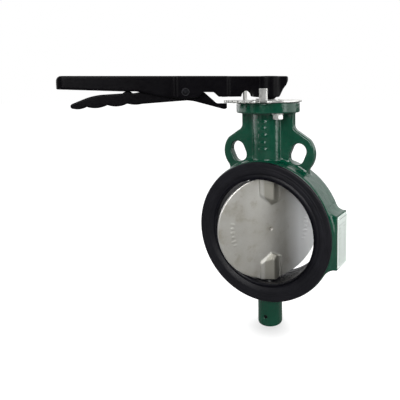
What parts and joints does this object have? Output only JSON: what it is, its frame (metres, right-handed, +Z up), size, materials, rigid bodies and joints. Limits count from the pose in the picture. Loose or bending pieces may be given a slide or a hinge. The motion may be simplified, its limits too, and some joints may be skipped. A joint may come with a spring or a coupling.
{
  "type": "butterfly valve",
  "caption": "Wafer butterfly valve with a rubber seat, a turning disc and a notched squeeze handle, for clamping between two pipe flanges.",
  "frame": {"origin": "centre of the disc and of the bore, midway between the two sealing faces", "axes": "+Z up along the stem to the handle, Y along the pipe with -Y the side the picture shows, +X towards the nameplate"},
  "size_m": [0.3228, 0.2309, 0.3709],
  "materials": {
    "green_epoxy": "glossy epoxy coating over sand-cast iron",
    "black_rubber": "satin moulded rubber",
    "seal_rubber": "moulded rubber",
    "cast_stainless": "bead-blasted stainless casting with a machined rim",
    "stainless": "ground",
    "zinc_steel": "zinc plated",
    "spring_steel": "phosphated spring steel",
    "blackened_steel": "black oxide",
    "aluminium_plate": "satin anodised sheet",
    "bearing_plastic": "PTFE",
    "black_coated_iron": "satin black coating over a casting"
  },
  "bodies": {
    "valve": {"valve_body": "green_epoxy", "seat_liner": "black_rubber", "upper_stem_bush": "bearing_plastic", "neck_bush": "bearing_plastic", "stem_seals": "seal_rubber", "stem_thrust_washer": "zinc_steel", "stem_retaining_ring": "spring_steel", "stub_stem": "stainless", "stub_stem_pin": "blackened_steel", "stub_seal": "seal_rubber", "throttle_plate": "zinc_steel", "plate_bolts": "zinc_steel", "plate_nuts": "zinc_steel", "plate_washers": "zinc_steel", "nameplate": "aluminium_plate", "nameplate_rivets": "aluminium_plate"},
    "turning": {"disc": "cast_stainless", "disc_bush": "bearing_plastic", "drive_stem": "stainless", "handle": "black_coated_iron", "handle_screw": "blackened_steel", "handle_washer": "zinc_steel", "trigger_pin": "blackened_steel", "trigger_pin_clip": "spring_steel", "trigger_spring": "spring_steel"},
    "trigger": {"trigger": "black_coated_iron"}
  },
  "joints": [
    {"name": "stem_turn", "type": "hinge", "parent": "valve", "child": "turning", "pos_m": [0, 0, 0], "axis": [0, 0, 1], "range_deg": [-40, 50]},
    {"name": "trigger_squeeze", "type": "hinge", "parent": "turning", "child": "trigger", "pos_m": [-0.08924, -0.07488, 0.1985], "axis": [-0.6428, 0.766, 0], "range_deg": [-4.5, 8], "stiffness_Nm_per_rad": 4, "springref_deg": -4.5, "deforming": ["trigger_spring"]}
  ]
}
